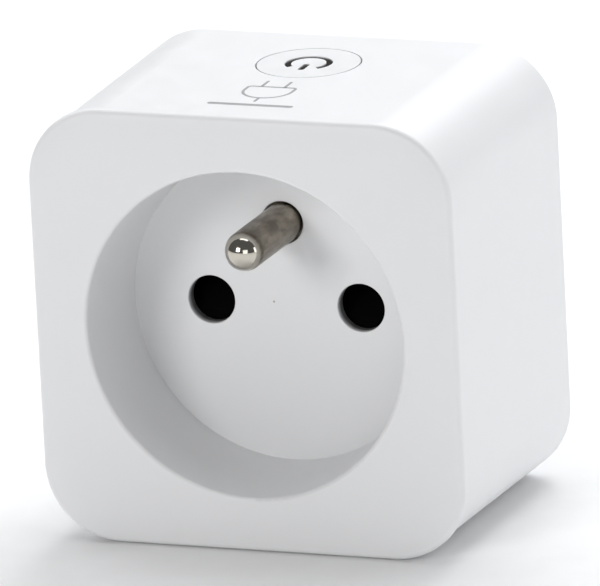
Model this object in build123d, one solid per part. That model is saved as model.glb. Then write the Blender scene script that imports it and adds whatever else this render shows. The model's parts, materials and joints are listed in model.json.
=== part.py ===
"""Smart plug: a square plug-in adaptor with a French (Type E) socket in front and a CEE 7/7 plug behind.

Millimetres. The origin is where the plug's axis meets the back wall's outer face. +Y points into the
wall outlet, so the socket faces -Y. +Z is up, and the button is in the top. Depths are Y values.
"""

import os
from math import cos, pi, radians, sin

from build123d import *

# ---- driving dimensions ----
BODY_DEPTH = 37.4
BEZEL_WIDTH = 53.3
BEZEL_CORNER = 9.3
BEZEL_DEPTH = 1.8
CUT_CLEAR = 1.0  # how far a cutting profile reaches outside the form that it cuts
SHELL_FRONT_WIDTH = 52.6
SHELL_FRONT_CORNER = 9.0
SHELL_BACK_WIDTH = 53.5
SHELL_BACK_CORNER = 9.0
WALL = 2.0
SEAM_GAP = 0.12
BACK_EDGE_RADIUS = 0.4

CROWN_RADIUS = 14.4  # the front rolls off slightly towards the rim on this radius
CROWN_TURN = 12.0  # degrees
RIM_EDGE_RADIUS = 0.8

RECESS_MOUTH_RADIUS = 19.95
RECESS_FLOOR_RADIUS = 19.3
RECESS_DEPTH = 14.0
RECESS_TUBE_RADIUS = 21.8
MOUTH_ROUNDING = 0.45
ROOT = 0.5  # how far a feature is sunk into the wall that carries it
SPIGOT_DEPTH = 2.8
SPIGOT_WALL = 1.2
PILOT_FRONT = -16.0
FLOOR_THICKNESS = 1.8
FLOOR_SEAT = 1.0  # how far the floor plate reaches under the recess wall
FIT_GAP = 0.1
SAME = 0.01  # closer than this, two measures are the same

PIN_PITCH = 19.0  # the standard spacing of live and neutral
PIN_RADIUS = 2.4
PIN_NECK_RADIUS = 2.1  # where a pin passes through its plate
LIVE_HOLE_RADIUS = 2.96
EARTH_HEIGHT = 10.0
EARTH_FLOOR_HOLE_RADIUS = 2.6
EARTH_PIN_REACH = 14.6
EARTH_PIN_SINK = 0.1  # its full thickness goes this far into the floor's hole

BOSS_RADIUS = 18.75
BOSS_DEPTH = 17.0
BOSS_INNER_RADIUS = 16.55
BOSS_WALL = 2.0  # behind the grooves
BOSS_CHAMFER = 0.5
BOSS_FLANGE_RADIUS = 20.6
BOSS_FLANGE_THICKNESS = 1.0
GUIDE_GROOVE_WIDTH = 5.6
GUIDE_GROOVE_DEPTH = 2.4
EARTH_GROOVE_WIDTH = 7.6
EARTH_GROOVE_DEPTH = 2.1
GROOVE_CORNER = 0.8
PIN_PLATE_THICKNESS = 2.5
PIN_PLATE_SEAT = 0.8
RUNNING_GAP = 0.05
NECK_GAP = 0.02
EARTH_BAND_WIDTH = 5.0
EARTH_BAND_THICKNESS = 0.8
BAND_SLOT_INNER = 12.0
PLUG_PIN_LENGTH = 19.0
PIN_TIP_ROUNDING = 2.2
PLUG_EARTH_HOLE_RADIUS = 2.75

BUTTON_DEPTH = -12.2  # the button's axis
BUTTON_HOLE_RADIUS = 6.4
BUTTON_RADIUS = 6.2
UNDER_TOP = 20.0  # below the top wall
ABOVE_TOP = 30.0  # clear above it
SYMBOL_RADIUS = 2.9
SYMBOL_STROKE = 0.8
SYMBOL_HALF_GAP = 42.0  # degrees

POST_OFFSET = 19.9
POST_RADIUS = 2.7
SCREW_RADIUS = 1.2
SCREW_HEAD_RADIUS = 2.2
SCREW_HEAD_SEAT = -0.9
SCREW_CLEARANCE = 0.15
SCREW_HEAD_CLEARANCE = 0.2
SCREW_CROSS_HALF = 1.3
SCREW_CROSS_WIDTH = 0.5
SCREW_CROSS_FRONT = -0.6
SCREW_HEAD_BACK = -0.15
SCREW_TIP = -12.0

POWER_BOARD_FRONT = -3.8
POWER_BOARD_THICKNESS = 1.5
CONTROL_BOARD_BOTTOM = 16.9
CONTROL_BOARD_THICKNESS = 1.0

# ---- derived places ----
FRONT = -BODY_DEPTH
BEZEL_BACK = FRONT + BEZEL_DEPTH
CROWN_ANGLE = radians(CROWN_TURN)
CROWN_DROP = CROWN_RADIUS * (1 - cos(CROWN_ANGLE))
RIM_SIDE = FRONT + CROWN_DROP + RIM_EDGE_RADIUS * cos(CROWN_ANGLE)  # where the rim's side wall begins
SHELL_FRONT = BEZEL_BACK + SEAM_GAP
RECESS_FLOOR = FRONT + RECESS_DEPTH
FLOOR_BACK = RECESS_FLOOR + FLOOR_THICKNESS
PIN_X = PIN_PITCH / 2
PIN_PLATE_FRONT = BOSS_DEPTH - PIN_PLATE_THICKNESS
EARTH_BAND_BACK = PIN_PLATE_FRONT - 0.3
EARTH_BAND_FRONT = EARTH_BAND_BACK - EARTH_BAND_THICKNESS
POWER_BOARD_BACK = POWER_BOARD_FRONT + POWER_BOARD_THICKNESS
CONTROL_BOARD_TOP = CONTROL_BOARD_BOTTOM + CONTROL_BOARD_THICKNESS


# ---- helpers ----
def across(y):
    """Sketch plane across the plug's axis at depth y, with sketch X and Y along +X and +Z."""
    return Plane.XZ.offset(-y)


def slab(outline, y_front, y_back):
    """Solid with an outline drawn across the axis, from y_front to y_back."""
    return extrude(across(y_back) * outline, y_back - y_front)


def rod(x, z, radius, y_front, y_back):
    """Round bar along the plug's axis."""
    return slab(Pos(x, z) * Circle(radius), y_front, y_back)


def block(x, y, z):
    """Box given by its (low, high) spans."""
    middle = [(low + high) / 2 for low, high in (x, y, z)]
    return Pos(*middle) * Box(x[1] - x[0], y[1] - y[0], z[1] - z[0])


def standing(x, y, radius, z_low, z_high):
    """Upright round bar."""
    return Pos(x, y, (z_low + z_high) / 2) * Cylinder(radius, z_high - z_low)


def rounded(width, corner):
    return RectangleRounded(width, width, corner)


def shell_width(y):
    """Outer width of the body shell at depth y: its sides have moulding draft."""
    share = (y - SHELL_FRONT) / (0 - SHELL_FRONT)
    return SHELL_FRONT_WIDTH + share * (SHELL_BACK_WIDTH - SHELL_FRONT_WIDTH)


def drafted(inset, y_front=SHELL_FRONT, y_back=0.0):
    """The body shell's drafted block, moved in by inset."""
    sections = []
    for y in (y_front, y_back):
        width = shell_width(y) - 2 * inset
        share = (y - SHELL_FRONT) / (0 - SHELL_FRONT)
        corner = SHELL_FRONT_CORNER + share * (SHELL_BACK_CORNER - SHELL_FRONT_CORNER) - inset
        sections.append(across(y) * rounded(width, corner))
    return loft(sections, ruled=True)


def corners(offset):
    """The four places at plus and minus offset on both axes."""
    return [(sx * offset, sz * offset) for sx in (-1, 1) for sz in (-1, 1)]


def union(first, *others):
    for other in others:
        first = first + other
    return first


def save(name, shape):
    export_step(shape, f"parts/{name}.step")


# ---- housing ----
def bezel_rim_cutters():
    """What the crowned rim takes off a square bezel: one profile along each side and round each corner."""
    half = BEZEL_WIDTH / 2
    edge_x = half - RIM_EDGE_RADIUS
    crown_x = edge_x + RIM_EDGE_RADIUS * sin(CROWN_ANGLE)
    crown_y = RIM_SIDE - RIM_EDGE_RADIUS * cos(CROWN_ANGLE)
    start_x = crown_x - CROWN_RADIUS * sin(CROWN_ANGLE)
    crown_middle = (
        start_x + CROWN_RADIUS * sin(CROWN_ANGLE / 2),
        FRONT + CROWN_RADIUS * (1 - cos(CROWN_ANGLE / 2)),
        0,
    )
    edge_turn = (CROWN_ANGLE + pi / 2) / 2
    edge_middle = (
        edge_x + RIM_EDGE_RADIUS * sin(edge_turn),
        RIM_SIDE - RIM_EDGE_RADIUS * cos(edge_turn),
        0,
    )
    outside = half + CUT_CLEAR
    before = FRONT - CUT_CLEAR
    profile = make_face(
        [
            Edge.make_three_point_arc((start_x, FRONT, 0), crown_middle, (crown_x, crown_y, 0)),
            Edge.make_three_point_arc((crown_x, crown_y, 0), edge_middle, (half, RIM_SIDE, 0)),
            Edge.make_line((half, RIM_SIDE, 0), (outside, RIM_SIDE, 0)),
            Edge.make_line((outside, RIM_SIDE, 0), (outside, before, 0)),
            Edge.make_line((outside, before, 0), (start_x, before, 0)),
            Edge.make_line((start_x, before, 0), (start_x, FRONT, 0)),
        ]
    )
    straight = half - BEZEL_CORNER
    side = extrude(profile, straight, both=True)
    corner_axis = Axis((straight, 0, straight), (0, -1, 0))
    corner = revolve(Pos(0, 0, straight) * profile, corner_axis, 90)
    return [Rot(0, quarter, 0) * piece for quarter in (0, 90, 180, 270) for piece in (side, corner)]


def bezel_block():
    """The bezel's outer form: flat front, crowned rim, short side wall."""
    bezel = slab(rounded(BEZEL_WIDTH, BEZEL_CORNER), FRONT, BEZEL_BACK)
    for cutter in bezel_rim_cutters():
        bezel = bezel - cutter
    return bezel


def front_cover():
    """Bezel plate with the recess tube, the spigot that enters the shell, and four screw posts."""
    tube = rod(0, 0, RECESS_TUBE_RADIUS, BEZEL_BACK - ROOT, FLOOR_BACK)
    spigot_width = shell_width(SHELL_FRONT) - 2 * WALL - 2 * FIT_GAP
    spigot_corner = SHELL_FRONT_CORNER - WALL - FIT_GAP
    spigot_inside = rounded(spigot_width - 2 * SPIGOT_WALL, spigot_corner - SPIGOT_WALL)
    spigot_ring = rounded(spigot_width, spigot_corner) - spigot_inside
    spigot = slab(spigot_ring, BEZEL_BACK - ROOT, BEZEL_BACK + SPIGOT_DEPTH)
    posts, pilots = [], []
    for x, z in corners(POST_OFFSET):
        posts.append(rod(x, z, POST_RADIUS, BEZEL_BACK - ROOT, -WALL - RUNNING_GAP))
        pilots.append(rod(x, z, SCREW_RADIUS + RUNNING_GAP, PILOT_FRONT, -WALL))
    cover = union(bezel_block(), tube, spigot, *posts)
    recess = loft(
        [
            across(FRONT) * Circle(RECESS_MOUTH_RADIUS),
            across(RECESS_FLOOR) * Circle(RECESS_FLOOR_RADIUS),
        ]
    )
    seat = rod(0, 0, RECESS_FLOOR_RADIUS + FLOOR_SEAT, RECESS_FLOOR, FLOOR_BACK)
    for cut in (recess, seat, *pilots):
        cover = cover - cut
    circles = cover.edges().filter_by(GeomType.CIRCLE)
    at_front = [e for e in circles if abs(e.center().Y - FRONT) < SAME]
    mouth = [e for e in at_front if abs(e.radius - RECESS_MOUTH_RADIUS) < SAME]
    return fillet(mouth, MOUTH_ROUNDING)


def socket_floor():
    plate = rod(0, 0, RECESS_FLOOR_RADIUS + FLOOR_SEAT - FIT_GAP, RECESS_FLOOR, FLOOR_BACK)
    for x in (-PIN_X, PIN_X):
        plate = plate - rod(x, 0, LIVE_HOLE_RADIUS, RECESS_FLOOR, FLOOR_BACK)
    plate = plate - rod(0, EARTH_HEIGHT, EARTH_FLOOR_HOLE_RADIUS, RECESS_FLOOR, FLOOR_BACK)
    return plate


def body_shell():
    block_out = drafted(0)
    back_rim = block_out.faces().sort_by(Axis.Y)[-1].edges()
    shell = fillet(back_rim, BACK_EDGE_RADIUS) - drafted(WALL)
    return shell - standing(0, BUTTON_DEPTH, BUTTON_HOLE_RADIUS, UNDER_TOP, ABOVE_TOP)


def boss_outline(gap=0.0):
    """The plug boss across the axis: a disc with guide grooves at its sides, earth grooves above and below."""
    outline = Circle(BOSS_RADIUS + gap)
    for side in (-1, 1):
        guide_depth, earth_depth = GUIDE_GROOVE_DEPTH - gap, EARTH_GROOVE_DEPTH - gap
        guide = RectangleRounded(2 * guide_depth, GUIDE_GROOVE_WIDTH - 2 * gap, GROOVE_CORNER)
        earth = RectangleRounded(EARTH_GROOVE_WIDTH - 2 * gap, 2 * earth_depth, GROOVE_CORNER)
        outline = outline - Pos(side * BOSS_RADIUS, 0) * guide - Pos(0, side * BOSS_RADIUS) * earth
    return outline


def boss_hollow(grow=0.0):
    """The boss's inside across the axis, kept thick behind each groove, made larger all round by grow."""
    hollow = Circle(BOSS_INNER_RADIUS + grow)
    beside = 2 * (BOSS_WALL - grow)
    guide = Rectangle(2 * GUIDE_GROOVE_DEPTH + beside, GUIDE_GROOVE_WIDTH + beside)
    earth = Rectangle(EARTH_GROOVE_WIDTH + beside, 2 * EARTH_GROOVE_DEPTH + beside)
    for side in (-1, 1):
        hollow = hollow - Pos(side * BOSS_RADIUS, 0) * guide - Pos(0, side * BOSS_RADIUS) * earth
    return hollow


def rear_cover():
    """Flat back wall, with an opening that the plug boss passes through and a seat inside for its flange."""
    plate = drafted(WALL + FIT_GAP, -WALL, 0)
    plate = plate - slab(boss_outline(RUNNING_GAP), -WALL, 0)
    plate = plate - rod(0, 0, BOSS_FLANGE_RADIUS + RUNNING_GAP, -WALL, -WALL + BOSS_FLANGE_THICKNESS)
    for x, z in corners(POST_OFFSET):
        plate = plate - rod(x, z, SCREW_RADIUS + SCREW_CLEARANCE, -WALL, 0)
        plate = plate - rod(x, z, SCREW_HEAD_RADIUS + SCREW_HEAD_CLEARANCE, SCREW_HEAD_SEAT, 0)
    return plate


def plug_boss():
    """The plug's round body: grooves outside, a flange in the back wall's seat, two contact slots."""
    tube = slab(boss_outline(), -WALL, BOSS_DEPTH)
    tube = chamfer(tube.faces().sort_by(Axis.Y)[-1].edges(), BOSS_CHAMFER)
    boss = tube + rod(0, 0, BOSS_FLANGE_RADIUS, -WALL, -WALL + BOSS_FLANGE_THICKNESS)
    boss = boss - slab(boss_hollow(), -WALL, BOSS_DEPTH)
    boss = boss - slab(boss_hollow(PIN_PLATE_SEAT), PIN_PLATE_FRONT, BOSS_DEPTH)
    slot_half = EARTH_BAND_WIDTH / 2 + 2 * FIT_GAP
    slot_y = (EARTH_BAND_FRONT - FIT_GAP, EARTH_BAND_BACK + FIT_GAP)
    for side in (-1, 1):
        slot_z = sorted((side * BAND_SLOT_INNER, side * BOSS_RADIUS))
        boss = boss - block((-slot_half, slot_half), slot_y, slot_z)
    return boss


def pin_plate():
    """End disc of the boss that carries both pins and has the hole for an outlet's earth pin."""
    plate = slab(boss_hollow(PIN_PLATE_SEAT - RUNNING_GAP), PIN_PLATE_FRONT, BOSS_DEPTH)
    for x in (-PIN_X, PIN_X):
        plate = plate - rod(x, 0, PIN_NECK_RADIUS + NECK_GAP, PIN_PLATE_FRONT, BOSS_DEPTH)
    return plate - rod(0, EARTH_HEIGHT, PLUG_EARTH_HOLE_RADIUS, PIN_PLATE_FRONT, BOSS_DEPTH)


def cover_screws():
    """Four cross-head screws, sunk in the back wall."""
    half_width = SCREW_CROSS_WIDTH / 2
    slot = block((-SCREW_CROSS_HALF, SCREW_CROSS_HALF), (SCREW_CROSS_FRONT, 0), (-half_width, half_width))
    screws = []
    for x, z in corners(POST_OFFSET):
        head = rod(x, z, SCREW_HEAD_RADIUS, SCREW_HEAD_SEAT, SCREW_HEAD_BACK)
        for turn in (0, 90):
            head = head - Pos(x, 0, z) * Rot(0, turn, 0) * slot
        screws.append(head + rod(x, z, SCREW_RADIUS, SCREW_TIP, SCREW_HEAD_SEAT))
    return Compound(children=screws)


# ---- pins and earth path ----
PIN_COLLAR_RADIUS = 3.4
PIN_COLLAR_FRONT = PIN_PLATE_FRONT - 1.4
PIN_TAIL_RADIUS = 1.2
EARTH_COLLAR_RADIUS = 4.0
EARTH_COLLAR_THICKNESS = 1.5
EARTH_TAIL_RADIUS = 2.0
STRAP_X = (-3.0, 3.0)
STRAP_FRONT = -8.3
STRAP_THICKNESS = 0.8
STRAP_Z = (5.7, 13.0)
RIVET_RADIUS = 2.8
RIVET_THICKNESS = 0.7
BAND_EYE_RADIUS = 5.2
LEG_DEPTH = 0.85  # how far the earth contacts lie under the boss surface
PRESS_GAP = 0.02  # between pieces pressed into each other
CONTACT_TOE_FRONT = 4.0
SLEEVE_RADIUS = 3.4
SLEEVE_BORE_RADIUS = 2.55
SLEEVE_FRONT = 4.0
SLIT_HALF = 0.3
SLIT_BACK = 11.5


def plug_pin(side):
    """Solid mains pin: rounded end outside, neck and collar in the pin plate, tail to the board."""
    x = side * PIN_X
    pin = rod(x, 0, PIN_RADIUS, BOSS_DEPTH, BOSS_DEPTH + PLUG_PIN_LENGTH)
    tip = pin.faces().sort_by(Axis.Y)[-1].edges()
    pin = fillet(tip, PIN_TIP_ROUNDING)
    neck = rod(x, 0, PIN_NECK_RADIUS, PIN_PLATE_FRONT, BOSS_DEPTH)
    collar = rod(x, 0, PIN_COLLAR_RADIUS, PIN_COLLAR_FRONT, PIN_PLATE_FRONT)
    tail = rod(x, 0, PIN_TAIL_RADIUS, POWER_BOARD_FRONT, PIN_COLLAR_FRONT)
    return union(pin, neck, collar, tail)


def socket_earth_pin():
    """The socket's earth pin: a rounded tip in the recess, a collar behind the floor, a riveted tail."""
    tip_centre = RECESS_FLOOR - EARTH_PIN_REACH + PIN_RADIUS
    collar_back = FLOOR_BACK + EARTH_COLLAR_THICKNESS
    strap_back = STRAP_FRONT + STRAP_THICKNESS
    shoulder = RECESS_FLOOR + EARTH_PIN_SINK
    pin = rod(0, EARTH_HEIGHT, PIN_RADIUS, tip_centre, shoulder)
    tip = Pos(0, tip_centre, EARTH_HEIGHT) * Sphere(PIN_RADIUS)
    neck = rod(0, EARTH_HEIGHT, PIN_NECK_RADIUS, shoulder, FLOOR_BACK)
    collar = rod(0, EARTH_HEIGHT, EARTH_COLLAR_RADIUS, FLOOR_BACK, collar_back)
    tail = rod(0, EARTH_HEIGHT, EARTH_TAIL_RADIUS, collar_back, strap_back)
    rivet = rod(0, EARTH_HEIGHT, RIVET_RADIUS, strap_back, strap_back + RIVET_THICKNESS)
    return union(pin, tip, neck, collar, tail, rivet)


def earth_strap():
    """Brass angle from the socket's earth pin back to the earth band."""
    strap_back = STRAP_FRONT + STRAP_THICKNESS
    upright = block(STRAP_X, (STRAP_FRONT, strap_back), STRAP_Z)
    upright = upright - rod(0, EARTH_HEIGHT, EARTH_TAIL_RADIUS + PRESS_GAP, STRAP_FRONT, strap_back)
    run = block(STRAP_X, (STRAP_FRONT, EARTH_BAND_FRONT), (STRAP_Z[0], STRAP_Z[0] + STRAP_THICKNESS))
    return upright + run


def earth_band():
    """Strip in front of the pin plate whose ends come out as the earth contacts above and below."""
    half = EARTH_BAND_WIDTH / 2
    leg_outer = BOSS_RADIUS - LEG_DEPTH
    leg_inner = leg_outer - EARTH_BAND_THICKNESS
    band = block((-half, half), (EARTH_BAND_FRONT, EARTH_BAND_BACK), (-leg_outer, leg_outer))
    band = band + rod(0, EARTH_HEIGHT, BAND_EYE_RADIUS, EARTH_BAND_FRONT, EARTH_BAND_BACK)
    toe_y = (CONTACT_TOE_FRONT, CONTACT_TOE_FRONT + EARTH_BAND_THICKNESS)
    toe_inner = BOSS_RADIUS - EARTH_GROOVE_DEPTH + FIT_GAP
    for side in (-1, 1):
        leg_z = sorted((side * leg_inner, side * leg_outer))
        leg = block((-half, half), (CONTACT_TOE_FRONT, EARTH_BAND_BACK), leg_z)
        toe = block((-half, half), toe_y, sorted((side * toe_inner, side * leg_outer)))
        band = union(band, leg, toe)
    return band - rod(0, EARTH_HEIGHT, SLEEVE_RADIUS + PRESS_GAP, EARTH_BAND_FRONT, EARTH_BAND_BACK)


def plug_earth_sleeve():
    """Slit sleeve that grips a wall outlet's earth pin."""
    sleeve = rod(0, EARTH_HEIGHT, SLEEVE_RADIUS, SLEEVE_FRONT, PIN_PLATE_FRONT)
    sleeve = sleeve - rod(0, EARTH_HEIGHT, SLEEVE_BORE_RADIUS, SLEEVE_FRONT, PIN_PLATE_FRONT)
    slit_z = (EARTH_HEIGHT, EARTH_HEIGHT + 2 * SLEEVE_RADIUS)
    return sleeve - block((-SLIT_HALF, SLIT_HALF), (SLEEVE_FRONT, SLIT_BACK), slit_z)


# ---- socket inside ----
CARRIER_HALF_X = 15.1
CARRIER_HALF_Z = 5.2
CARRIER_FRONT = -16.9
CARRIER_BACK = -6.2
POCKET_HALF = 3.2
RAIL_X = 13.9
RAIL_BOTTOM = -13.2
SHELF_TOP = -12.4
SHELF_BACK = -19.4
EARTH_SEAT_FRONT = FLOOR_BACK + EARTH_COLLAR_THICKNESS + FIT_GAP
EARTH_SEAT_BACK = STRAP_FRONT - FIT_GAP
EARTH_SEAT_TOP = 13.4
EARTH_SEAT_HALF = 5.0
CLIP_HALF = 3.1
CLIP_LEAF = 0.5
CLIP_FRONT = -16.2
CLIP_BACK = -7.0
CLIP_TAIL_HALF = 1.2


def contact_carrier():
    """Moulded block: contact pockets, the earth pin's seat, and the shutter's guide rails."""
    span_x = (-CARRIER_HALF_X, CARRIER_HALF_X)
    carrier = block(span_x, (CARRIER_FRONT, CARRIER_BACK), (-CARRIER_HALF_Z, CARRIER_HALF_Z))
    seat_x = (-EARTH_SEAT_HALF, EARTH_SEAT_HALF)
    carrier = carrier + block(seat_x, (EARTH_SEAT_FRONT, EARTH_SEAT_BACK), (CARRIER_HALF_Z, EARTH_SEAT_TOP))
    for side in (-1, 1):
        rail_x = sorted((side * RAIL_X, side * CARRIER_HALF_X))
        carrier = carrier + block(rail_x, (FLOOR_BACK, CARRIER_FRONT), (RAIL_BOTTOM, CARRIER_HALF_Z))
    carrier = carrier + block((-RAIL_X, RAIL_X), (FLOOR_BACK, SHELF_BACK), (RAIL_BOTTOM, SHELF_TOP))
    for x in (-PIN_X, PIN_X):
        pocket_x = (x - POCKET_HALF, x + POCKET_HALF)
        carrier = carrier - block(pocket_x, (CARRIER_FRONT, CARRIER_BACK), (-POCKET_HALF, POCKET_HALF))
    tail_room = EARTH_TAIL_RADIUS + RUNNING_GAP
    carrier = carrier - rod(0, EARTH_HEIGHT, tail_room, EARTH_SEAT_FRONT, EARTH_SEAT_BACK)
    strap_room_x = (STRAP_X[0] - FIT_GAP, STRAP_X[1] + FIT_GAP)
    strap_room_z = (CARRIER_HALF_Z, STRAP_Z[0] + FIT_GAP)
    return carrier - block(strap_room_x, (EARTH_SEAT_BACK, CARRIER_BACK), strap_room_z)


def socket_contact(side):
    """Folded brass clip, open above, that grips a plug's pin, with a tail to the board."""
    x = side * PIN_X
    length_y = (CLIP_FRONT, CLIP_BACK)
    outer = block((x - CLIP_HALF, x + CLIP_HALF), length_y, (-CLIP_HALF, CLIP_HALF))
    inner_half = CLIP_HALF - CLIP_LEAF
    clip = outer - block((x - inner_half, x + inner_half), length_y, (-inner_half, CLIP_HALF))
    tail_z = (-CLIP_HALF, -inner_half)
    return clip + block((x - CLIP_TAIL_HALF, x + CLIP_TAIL_HALF), (CLIP_BACK, POWER_BOARD_FRONT), tail_z)


SHUTTER_HALF = 3.2
SHUTTER_FRONT = FLOOR_BACK + FIT_GAP
SHUTTER_BACK = -17.1
SHUTTER_BRIDGE_HALF = 6.0
SHUTTER_BRIDGE_TOP = -0.4
RAMP_LOW = -1.6
RAMP_HALF = 4.2
RAMP_LIP = 0.8
SPRING_Y = -19.1
SPRING_RADIUS = 1.45
SPRING_WIRE_RADIUS = 0.2
SPRING_TURNS = 7
PEG_RADIUS = 0.95
PEG_LENGTH = 1.4


def safety_shutter():
    """Slide with a ramp behind each live hole, so that two plug pins together push it down."""
    bridge_x = (-SHUTTER_BRIDGE_HALF, SHUTTER_BRIDGE_HALF)
    shutter = block(bridge_x, (SHUTTER_FRONT, SHUTTER_BACK), (-SHUTTER_HALF, SHUTTER_BRIDGE_TOP))
    ramp = make_face(
        Polyline(
            (0, SHUTTER_FRONT, -SHUTTER_HALF),
            (0, SHUTTER_FRONT, RAMP_LOW),
            (0, SHUTTER_BACK - RAMP_LIP, SHUTTER_HALF),
            (0, SHUTTER_BACK, SHUTTER_HALF),
            (0, SHUTTER_BACK, -SHUTTER_HALF),
            close=True,
        )
    )
    for x in (-PIN_X, PIN_X):
        shutter = shutter + Pos(x, 0, 0) * extrude(ramp, RAMP_HALF, both=True)
    return shutter + standing(0, SPRING_Y, PEG_RADIUS, -SHUTTER_HALF - PEG_LENGTH, -SHUTTER_HALF)


def shutter_spring():
    """Upright compression spring of round wire, its centre line a wire's width inside both ends."""
    low = SHELF_TOP + SPRING_WIRE_RADIUS
    height = -SHUTTER_HALF - SPRING_WIRE_RADIUS - low
    path = Helix(pitch=height / SPRING_TURNS, height=height, radius=SPRING_RADIUS)
    start = Plane(origin=path @ 0, z_dir=path % 0)
    return Pos(0, SPRING_Y, low) * sweep(start * Circle(SPRING_WIRE_RADIUS), path)


# ---- button and tact switch ----
CAP_FLANGE_RADIUS = 7.1
CAP_FLANGE_BOTTOM = 23.1
CAP_FLANGE_TOP = 24.0
CAP_HOLLOW_RADIUS = 4.6
CAP_HOLLOW_TOP = 25.2
GUIDE_DISC_RADIUS = 4.55
GUIDE_DISC_BOTTOM = 24.2
GUIDE_FOOT_RADIUS = 1.6
GUIDE_ROOT = 24.4  # inside the disc, where the foot and the raised symbol start
SYMBOL_SINK = 0.12
SYMBOL_BAR_LENGTH = 0.9 * SYMBOL_RADIUS
SYMBOL_BAR_MIDDLE = 0.58 * SYMBOL_RADIUS
SWITCH_HALF = 3.0
SWITCH_TOP = CONTROL_BOARD_TOP + 3.4
SWITCH_FRAME_THICKNESS = 0.3
SWITCH_WELL_RADIUS = 2.3
SWITCH_WELL_FLOOR = CONTROL_BOARD_TOP + 0.8
SWITCH_FRAME_HOLE = 1.75
SWITCH_LEG_OFFSET = 2.25
SWITCH_LEG_HALF = 0.35
SWITCH_LEG_REACH = 4.0
SWITCH_LEG_THICKNESS = 0.25
DOME_RADIUS = 2.1
DOME_CURVE = 5.5
DOME_THICKNESS = 0.12
DOME_EDGE = SWITCH_WELL_FLOOR + 0.02
PLUNGER_RADIUS = 1.65
PLUNGER_BOTTOM = CONTROL_BOARD_TOP + 1.9
PLUNGER_TOP = SWITCH_TOP + 0.9
PLUNGER_COLLAR_RADIUS = 2.2
PLUNGER_COLLAR_THICKNESS = 0.7
LED_MIDDLE_X = 5.4
LED_BASE_HALF = (0.8, 0.6)
LED_BASE_TOP = CONTROL_BOARD_TOP + 0.4
LED_LENS_HALF = (0.6, 0.55)
LED_LENS_TOP = CONTROL_BOARD_TOP + 0.9


def symbol_outline():
    """Power symbol: an open ring with a bar in its gap, the gap towards the socket."""
    ring = Circle(SYMBOL_RADIUS) - Circle(SYMBOL_RADIUS - SYMBOL_STROKE)
    reach = 2 * SYMBOL_RADIUS
    half_gap = radians(SYMBOL_HALF_GAP)
    wedge = make_face(
        Polyline(
            (0, 0),
            (-reach * sin(half_gap), -reach * cos(half_gap)),
            (reach * sin(half_gap), -reach * cos(half_gap)),
            close=True,
        )
    )
    bar = RectangleRounded(SYMBOL_STROKE, SYMBOL_BAR_LENGTH, SYMBOL_STROKE / 2 - SAME)
    return ring - wedge + Pos(0, -SYMBOL_BAR_MIDDLE) * bar


def symbol_prism(z_low, z_high):
    at_button = Plane.XY.offset(z_low).move(Location((0, BUTTON_DEPTH, 0)))
    return extrude(at_button * symbol_outline(), z_high - z_low)


def button_cap():
    """Round cap flush with the drafted top, with a flange that stops it under the wall."""
    skirt = standing(0, BUTTON_DEPTH, BUTTON_RADIUS, CAP_FLANGE_BOTTOM, ABOVE_TOP) & drafted(0)
    flange = standing(0, BUTTON_DEPTH, CAP_FLANGE_RADIUS, CAP_FLANGE_BOTTOM, CAP_FLANGE_TOP)
    hollow = standing(0, BUTTON_DEPTH, CAP_HOLLOW_RADIUS, CAP_FLANGE_BOTTOM, CAP_HOLLOW_TOP)
    return skirt + flange - hollow - symbol_prism(CAP_FLANGE_TOP, ABOVE_TOP)


def button_light_guide():
    """Smoked insert: its raised symbol fills the cap's opening, and its foot presses the switch."""
    raised = symbol_prism(GUIDE_ROOT, ABOVE_TOP) & drafted(SYMBOL_SINK)
    disc = standing(0, BUTTON_DEPTH, GUIDE_DISC_RADIUS, GUIDE_DISC_BOTTOM, CAP_HOLLOW_TOP)
    foot = standing(0, BUTTON_DEPTH, GUIDE_FOOT_RADIUS, PLUNGER_TOP + PRESS_GAP, GUIDE_ROOT)
    return union(disc, raised, foot)


def switch_square(z_low, z_high):
    """The tact switch's square body from z_low to z_high."""
    span_y = (BUTTON_DEPTH - SWITCH_HALF, BUTTON_DEPTH + SWITCH_HALF)
    return block((-SWITCH_HALF, SWITCH_HALF), span_y, (z_low, z_high))


def switch_base():
    """Moulded base with the dome's well and four legs."""
    base = switch_square(CONTROL_BOARD_TOP, SWITCH_TOP - SWITCH_FRAME_THICKNESS)
    base = base - standing(0, BUTTON_DEPTH, SWITCH_WELL_RADIUS, SWITCH_WELL_FLOOR, SWITCH_TOP)
    leg_z = (CONTROL_BOARD_TOP, CONTROL_BOARD_TOP + SWITCH_LEG_THICKNESS)
    for side_x, side_y in corners(1):
        leg_x = sorted((side_x * SWITCH_HALF, side_x * SWITCH_LEG_REACH))
        leg_middle = BUTTON_DEPTH + side_y * SWITCH_LEG_OFFSET
        base = base + block(leg_x, (leg_middle - SWITCH_LEG_HALF, leg_middle + SWITCH_LEG_HALF), leg_z)
    return base


def switch_frame():
    """Thin steel top of the tact switch."""
    bottom = SWITCH_TOP - SWITCH_FRAME_THICKNESS
    frame = switch_square(bottom, SWITCH_TOP)
    return frame - standing(0, BUTTON_DEPTH, SWITCH_FRAME_HOLE, bottom, SWITCH_TOP)


def switch_dome():
    """Shallow snap dome under the plunger."""
    sag = DOME_CURVE - (DOME_CURVE**2 - DOME_RADIUS**2) ** 0.5
    shell = Sphere(DOME_CURVE) - Sphere(DOME_CURVE - DOME_THICKNESS)
    cap = Pos(0, BUTTON_DEPTH, SWITCH_WELL_FLOOR + sag - DOME_CURVE) * shell
    return cap & standing(0, BUTTON_DEPTH, DOME_RADIUS, DOME_EDGE, SWITCH_TOP)


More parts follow.
